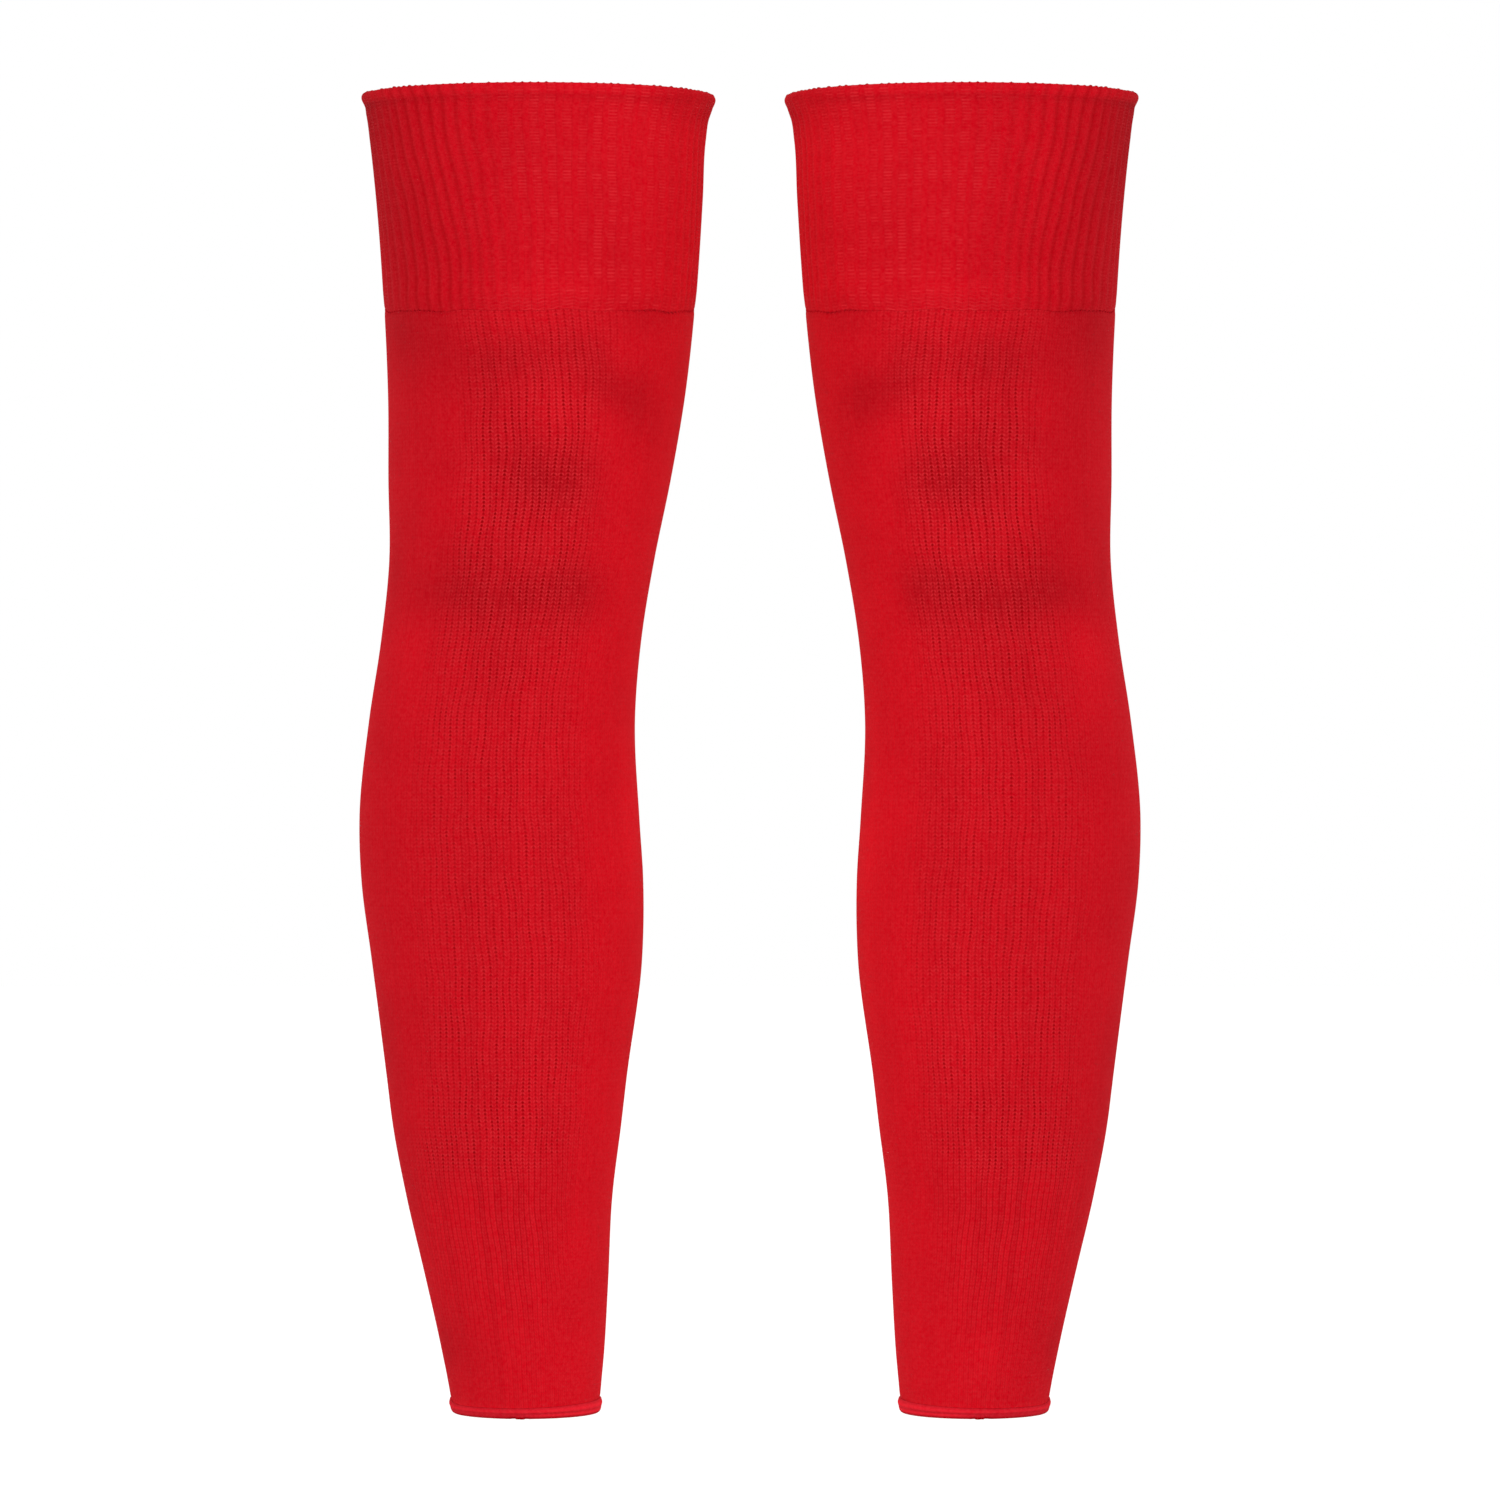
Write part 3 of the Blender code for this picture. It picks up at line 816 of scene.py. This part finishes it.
def build_rib_stitch():
    """Height: in the trough a thread for each course, on the rib half an arch for each slanted course, and
    at the rib's edge a notch. Line: the thread, where the ground, the slow patches and chance show it."""
    tree, (wale, course, seam, show) = new_group("rib_stitch", Wale=0.0, Course=0.0, Seam=0.0, Show=1.0)
    ribs = wale / 2
    from_crest = 2 * off_middle(ribs)
    trough = ramp(from_crest, *GROUND)
    edge = clamp(1 - NOTCH_SHARPNESS * abs(from_crest - NOTCH))
    swayed = course + THREAD_SWAY * seam * calc("SINE", np.pi * wale)
    thread = ramp(off_middle(swayed), *THREAD_EDGES)
    ground = calc("MAXIMUM", trough, SEAM_GROUND * seam)
    column = calc("ROUND", ribs)
    patches = slow_patches(column, course, *THREAD_PATCHES)
    shown = calc("MAXIMUM", ramp(patches, *THREAD_SHOWS), seam)
    chance = stitch_chance(column, swayed) + THREAD_LEAST
    leg = RIB_LEG_HEIGHT * arch(course - off_middle(wale)) * (1 - trough)
    return give(tree, {
        "Height": THREAD_HEIGHT * thread * ground * show + leg - NOTCH_DEPTH * edge,
        "Line": thread * ground * shown * show * chance,
        "Trough": ramp(from_crest, *TROUGH_SHADE),
        "Edge": edge,
    })


rib_stitch = build_rib_stitch()

# %% [markdown]
# Inside the sleeve the cloth shows its purl side: each course is a row of small arched bumps, and no
# wales stand out. The same small bumps serve for the rolled hem, where the purl side comes to the front.

# %% Group: purl side
def build_purl_side():
    """Height: an arch for each course, whose rows sway by a cosine once for each wale."""
    tree, (wale, course) = new_group("purl_side", Wale=0.0, Course=0.0)
    sway = THREAD_SWAY * calc("COSINE", 2 * np.pi * wale)
    return give(tree, {"Height": arch(course + sway)})


purl_side = build_purl_side()

# %% [markdown]
# Dyed yarn is never one flat colour. Slow cloudy changes over a few centimetres, a slightly different red
# for every wale, and a fine mottle the size of a stitch, in which the brighter flecks are also a little
# paler, make it look like cloth. Each piece's painted shading, its painted shade and light from bell curves,
# goes in here too, and darkens or lightens the colour.

# %% Group: yarn tone and painted shading
CLOUD_SCALE, CLOUD_DETAIL, CLOUD_CHANGE = 28.0, 3.0, 0.20
MOTTLE_SCALE, MOTTLE_DETAIL, MOTTLE_CHANGE, MOTTLE_PALENESS = 700.0, 2.0, 0.16, 0.03


def build_yarn_tone_and_painted_shading():
    """The colour with its value times 1 + cloud + mottle + the wale's own change - the painted shade, and
    its saturation a little lower where the mottle is bright."""
    tree, (colour, wale, shade, streak) = new_group(
        "yarn_tone_and_painted_shading", Colour=WHITE, Wale=0.0, Shade=0.0, Streak=0.05)
    place = take(tree, "ShaderNodeTexCoord", "Object")
    cloud, mottle = (
        take(tree, "ShaderNodeTexNoise", "Fac", {"Vector": place, "Scale": scale, "Detail": detail}) - 0.5
        for scale, detail in ((CLOUD_SCALE, CLOUD_DETAIL), (MOTTLE_SCALE, MOTTLE_DETAIL)))
    own = take(tree, "ShaderNodeTexWhiteNoise", "Value", {"W": calc("FLOOR", wale)}, noise_dimensions="1D")
    value = 1 + CLOUD_CHANGE * cloud + MOTTLE_CHANGE * mottle + streak * (own - 0.5) - shade
    inputs = {"Color": colour, "Saturation": 1 - MOTTLE_PALENESS * mottle, "Value": value}
    return give(tree, {"Colour": take(tree, "ShaderNodeHueSaturation", "Color", inputs)}, COLOUR)


yarn_tone_and_painted_shading = build_yarn_tone_and_painted_shading()

# %% [markdown]
# Now the materials. All share one saturated red and a shader that is nearly free of gloss, as soft synthetic
# yarn is: high roughness, hardly any specular, and a trace of sheen from the fine fuzz. Besides the yarn's
# red there is a deep red of painted shade for gaps and troughs, with nearly none of its green and blue, as
# where light reaches only off other red yarn, and a lighter red of painted highlight for threads that catch
# the light.

# %% Material helpers
RED = (0.484, 0.0040, 0.0100, 1)
# The red of painted shade, and the red of painted highlights
SHADE_RED = (0.27, 0.0001, 0.0015, 1)
HIGHLIGHT_RED = (0.64, 0.028, 0.036, 1)
YARN_GLOSS = {
    "Roughness": 0.9,
    "Specular IOR Level": 0.02,
    "Sheen Weight": 0.015,
    "Sheen Roughness": 0.5,
    "Sheen Tint": (1.0, 0.35, 0.35, 1),
}


def start_material(name):
    """A material whose Principled shader has the yarn's gloss. Gives it and its tree."""
    material = bpy.data.materials.new(name)
    material.use_nodes = True
    shader = material.node_tree.nodes["Principled BSDF"]
    for title, value in YARN_GLOSS.items():
        shader.inputs[title].default_value = value
    material.diffuse_color = RED
    return material, material.node_tree


def end_material(material, colour, height=None, rise=0.0):
    """Feeds the shader its colour and, if there is a height of 0 to 1, a bump that many metres high."""
    tree = material.node_tree
    shader = tree.nodes["Principled BSDF"]
    tree.links.new(colour.socket, shader.inputs["Base Color"])
    if height is not None:
        bump = take(tree, "ShaderNodeBump", "Normal", {"Height": height, "Distance": rise, "Strength": 1.0})
        tree.links.new(bump.socket, shader.inputs["Normal"])
    print("material", material.name, "has", len(tree.nodes), "nodes")
    return material


def parts_of(vector):
    """The three numbers of a vector."""
    parts = add(vector.tree, "ShaderNodeSeparateXYZ", {"Vector": vector}).outputs
    return [Value(vector.tree, part) for part in parts]


def knit_place(tree):
    """The wale and course numbers of the UV map."""
    wale, course = parts_of(take(tree, "ShaderNodeUVMap", "UV", uv_map="knit"))[:2]
    return {"Wale": wale, "Course": course}


def attributes(tree, *names):
    """Numbers that the piece's points carry."""
    return [take(tree, "ShaderNodeAttribute", "Fac", attribute_name=name) for name in names]


def place_group(tree, group, inputs):
    """Places a node group, feeds its inputs and gives its outputs by their names."""
    outputs = add(tree, "ShaderNodeGroup", inputs, node_tree=group).outputs
    return {socket.name: Value(tree, socket) for socket in outputs}


def yarn_colour(dye, wale, streak, shade=0.0):
    """The dyed yarn's uneven colour, with its painted shading, from the group that makes both."""
    inputs = {"Colour": dye, "Wale": wale, "Shade": shade, "Streak": streak}
    return place_group(wale.tree, yarn_tone_and_painted_shading, inputs)["Colour"]


def lay(colour, over, share):
    """Lays a colour over another one; share says how much of it shows."""
    return take(colour.tree, "ShaderNodeMix", 2, {0: share, 6: colour, 7: over}, data_type="RGBA")


# %% [markdown]
# The leg's material lays the plain stitch over the yarn's colour, which holds the leg's painted shading, in
# three steps, each a mix by one of the group's masks: a painted highlight on the legs of the V, painted
# shade in the valley between two wales, and the deepest painted shade in the gaps. Each amount grows with
# how far the knit is opened at that point. Outside, a bump raises the stitches by a fifth of a millimetre,
# and inside it raises the purl side in their place.

# %% The leg's material
# Strengths of the painted highlight on the stitches' legs and of the painted shade in valleys and gaps; the
# wale streak is the yarn's own uneven colour
STITCH_LIGHT = {"closed": 0.10, "open": 0.42, "ankle": 0.16}
VALLEY_DARK = {"closed": 0.05, "open": 0.07, "ankle": 0.42}
WALE_STREAK = {"closed": 0.03, "open": 0.05, "ankle": 0.12}
GAP_DARK = 0.90
STITCH_BUMP = 0.00018


def by_stretch(amounts, opened, ankle):
    """One number for a place: the closed amount + open amount x openness + ankle amount x ankle."""
    return amounts["closed"] + amounts["open"] * opened + amounts["ankle"] * ankle


def plain_knit():
    """The leg's material: outside the plain stitch, inside the purl side."""
    material, tree = start_material("leg_knit")
    place = knit_place(tree)
    opened, ankle, inside, painted_shading = attributes(tree, "open", "ankle", "inside", "painted_shading")
    stitch = place_group(tree, plain_stitch, {**place, "Open": opened})
    purl = place_group(tree, purl_side, place)
    streak, lit, dark = (by_stretch(amounts, opened, ankle)
                         for amounts in (WALE_STREAK, STITCH_LIGHT, VALLEY_DARK))
    # the yarn's colour with the painted shading, then a painted highlight and two steps of painted shade
    colour = yarn_colour(RED, place["Wale"], streak, painted_shading)
    colour = lay(colour, HIGHLIGHT_RED, stitch["Leg"] * lit)
    colour = lay(colour, SHADE_RED, stitch["Valley"] * dark)
    colour = lay(colour, SHADE_RED, stitch["Gap"] * GAP_DARK)
    height = stitch["Height"] * (1 - inside) + purl["Height"] * inside
    return end_material(material, colour, height, STITCH_BUMP)


leg_finish = plain_knit()

# %% [markdown]
# The cuff's material works the same way with the rib stitch: a painted highlight on the level threads where
# they show, a faint line of painted shade along each rib's edge, and painted shade in the trough. The rib
# attribute says how far the ribs stand out, so the troughs' painted shade is dark at the sides and only the
# threads show at the stretched front. The tips of the loops on the rim take painted shade, as they stand
# against their own shade.

# %% The cuff's material
# Strengths of the painted highlight on the threads and of the painted shade on the ribs' edges and in the
# troughs; the streak is the yarn's own uneven colour
THREAD_LIGHT, THREAD_FULL = 0.34, 1.2
RIB_EDGE_DARK = 0.07
TROUGH_DARK, TROUGH_CLEAR = 0.66, 0.16
CUFF_STREAK = 0.03


def ribbed_knit():
    """The cuff's material: the rib stitch, with a painted highlight on its threads, painted shade on its
    edges, its troughs and the tips of the rim's loops, and the cuff's painted shading.
    """
    material, tree = start_material("cuff_knit")
    place = knit_place(tree)
    rib, seam, loop, painted_shading = attributes(tree, "rib", "seam", "loop", "painted_shading")
    stitch = place_group(tree, rib_stitch, {**place, "Seam": seam, "Show": clamp(THREAD_FULL - rib)})
    # the yarn's colour with the painted shading, then a painted highlight on the threads and painted shade
    # on edges, troughs and loop tips
    colour = yarn_colour(RED, place["Wale"], CUFF_STREAK, painted_shading)
    colour = lay(colour, HIGHLIGHT_RED, stitch["Line"] * THREAD_LIGHT)
    colour = lay(colour, SHADE_RED, stitch["Edge"] * RIB_EDGE_DARK)
    colour = lay(colour, SHADE_RED, stitch["Trough"] * (TROUGH_DARK * rib - TROUGH_CLEAR))
    colour = lay(colour, SHADE_RED, loop)
    return end_material(material, colour, stitch["Height"], STITCH_BUMP)


cuff_finish = ribbed_knit()

# %% [markdown]
# The hem shows the purl side, so its bump is finer and its colour a touch lighter. Its painted shade and
# light go in, and a painted shade darkens its lowest edge. The linking yarn is a plain thread in the seam's
# shade, a little deeper in colour, whose red changes from wale to wale.

# %% The hem's and the linking yarn's materials
HEM_RED, HEM_STREAK, HEM_BUMP = (0.50, 0.009, 0.018, 1), 0.04, 0.00010
YARN_RED, YARN_STREAK = (0.42, 0.004, 0.010, 1), 0.2


def turned_edge():
    """The hem's material: the purl side, with its painted shading and painted shade along the lowest edge.
    """
    material, tree = start_material("hem_knit")
    place = knit_place(tree)
    low, painted_shading = attributes(tree, "low", "painted_shading")
    # the hem's painted shading, and painted shade along its lowest edge
    colour = lay(yarn_colour(HEM_RED, place["Wale"], HEM_STREAK, painted_shading), SHADE_RED, low)
    return end_material(material, colour, place_group(tree, purl_side, place)["Height"], HEM_BUMP)


def seam_yarn():
    """The linking yarn's material: a plain thread whose tone changes from wale to wale."""
    material, tree = start_material("seam_yarn")
    return end_material(material, yarn_colour(YARN_RED, knit_place(tree)["Wale"], YARN_STREAK))


hem_finish, yarn_finish = turned_edge(), seam_yarn()

# %% [markdown]
# Each finished piece is then dressed and tied to the frame: it takes its material, rides on the frame's one
# body, and stands for the plain solid in its place. The leg and the cuff are sheets of cloth.

# %% Dress the pieces and tie them to the frame
for word in SIDES:
    for piece, finish, slot in (
        (legs[word], leg_finish, "plain_knit"),
        (cuffs[word], cuff_finish, "ribbed_knit"),
        (hems[word], hem_finish, "turned_edge"),
        (yarns[word], yarn_finish, "plain_knit"),
    ):
        piece.data.materials.append(finish)
        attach(piece, "root")
    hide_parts(f"leg_{word}")
    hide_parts(f"cuff_{word}")
    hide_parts(f"hem_{word}")

# %% [markdown]
# The pair is shown as a catalogue shows it: upright, filled out, on plain white. A wide white floor lies
# a little below the hems, and the world is white where the camera sees it. The light that reaches the
# cloth is a soft dome, brighter from above.

# %% Floor and world
FLOOR_DROP = 0.12
FLOOR_HALF = 12.0
FLOOR_GREY = 0.93
LIGHT_LEVEL, LIGHT_UPWARD, LIGHT_FORWARD = 1.05, 0.2, 0.15


def plain_floor():
    level = float(frame_low.z) - FLOOR_DROP
    corners = [(x * FLOOR_HALF, y * FLOOR_HALF, level) for x, y in ((-1, -1), (1, -1), (1, 1), (-1, 1))]
    mesh = bpy.data.meshes.new("floor")
    mesh.from_pydata(corners, [], [(0, 1, 2, 3)])
    material = bpy.data.materials.new("white_floor")
    material.use_nodes = True
    shader = material.node_tree.nodes["Principled BSDF"]
    shader.inputs["Base Color"].default_value = (FLOOR_GREY, FLOOR_GREY, FLOOR_GREY, 1)
    shader.inputs["Roughness"].default_value = 1.0
    shader.inputs["Specular IOR Level"].default_value = 0.0
    mesh.materials.append(material)
    floor = bpy.data.objects.new("floor", mesh)
    bpy.context.scene.collection.objects.link(floor)


def soft_world():
    """A dome of soft light: its strength is a level, plus a part of the direction's height, plus a smaller
    part of how far it points to the front. The camera itself sees plain white."""
    world = bpy.data.worlds.new("soft_world")
    world.use_nodes = True
    tree = world.node_tree
    tree.nodes.clear()
    back, up = parts_of(take(tree, "ShaderNodeTexCoord", "Generated"))[1:]
    strength = LIGHT_LEVEL + LIGHT_UPWARD * up - LIGHT_FORWARD * back
    dome, plain = (take(tree, "ShaderNodeBackground", 0, {"Color": WHITE, "Strength": value})
                   for value in (strength, 1.0))
    seen = take(tree, "ShaderNodeLightPath", "Is Camera Ray")
    mixed = take(tree, "ShaderNodeMixShader", 0, {0: seen, 1: dome, 2: plain})
    add(tree, "ShaderNodeOutputWorld", {"Surface": mixed})
    bpy.context.scene.world = world


plain_floor()
soft_world()
print("floor", FLOOR_DROP, "m under the hems")

# %% [markdown]
# Both sleeves look the same, mirrored, down to their lighter inner edges. One lamp can't do that, because
# it would light one sleeve's inner side and the other's outer side. So each sleeve has a soft side lamp
# of its own, linked to that sleeve alone, on the side of the other sleeve.

# %% Lights
SIDE_LAMP_TURN, SIDE_LAMP_DISTANCE, SIDE_LAMP_LEVEL = 72.0, 1.6, -0.15
SIDE_LAMP_SIZE, SIDE_LAMP_POWER = 0.9, 7.5
SLEEVE_CENTRE = 0.095


def side_lamp(word, side):
    """A square area lamp, turned from the front towards the middle, aimed at its sleeve's centre."""
    lamp = bpy.data.lights.new(f"side_lamp_{word}", "AREA")
    lamp.size = SIDE_LAMP_SIZE
    lamp.energy = SIDE_LAMP_POWER
    thing = bpy.data.objects.new(lamp.name, lamp)
    turn = np.radians(SIDE_LAMP_TURN)
    aside, ahead = SIDE_LAMP_DISTANCE * np.sin(turn), SIDE_LAMP_DISTANCE * np.cos(turn)
    thing.location = (side * (SLEEVE_CENTRE - aside), -ahead, SIDE_LAMP_LEVEL)
    thing.rotation_euler = (np.pi / 2, 0, -side * turn)
    bpy.context.scene.collection.objects.link(thing)
    thing.visible_camera = False
    group = bpy.data.collections.new(f"lit_{word}")
    for pieces in (legs, cuffs, hems, yarns):
        group.objects.link(pieces[word])
    thing.light_linking.receiver_collection = group
    thing.light_linking.blocker_collection = group
    return thing


for word, side in SIDES.items():
    print(side_lamp(word, side).name, SIDE_LAMP_POWER, "W")

# %% [markdown]
# The camera stands far back half-way up the sleeves, level, with a long lens, so that the rim and the
# hem show only as shallow arcs. Its distance fixes the lens: at the sleeves, one pixel of the picture is
# 0.418 mm.

# %% Camera
CAMERA_DISTANCE = 4.0
EYE_HEIGHT = 276.8
PIXEL = 0.4182 * MM
PICTURE_SIDE = 1500
SENSOR_WIDTH = 36.0
camera = bpy.data.cameras.new("camera")
camera.sensor_width = SENSOR_WIDTH
camera.lens = SENSOR_WIDTH * CAMERA_DISTANCE / (PIXEL * PICTURE_SIDE)
eye = bpy.data.objects.new("camera", camera)
eye.location = (0, -CAMERA_DISTANCE, (EYE_HEIGHT - ORIGIN_HEIGHT) * MM)
eye.rotation_euler = (np.pi / 2, 0, 0)
bpy.context.scene.collection.objects.link(eye)
bpy.context.scene.camera = eye
bpy.context.scene.view_settings.view_transform = "Standard"
print("lens", round(camera.lens, 1), "mm")
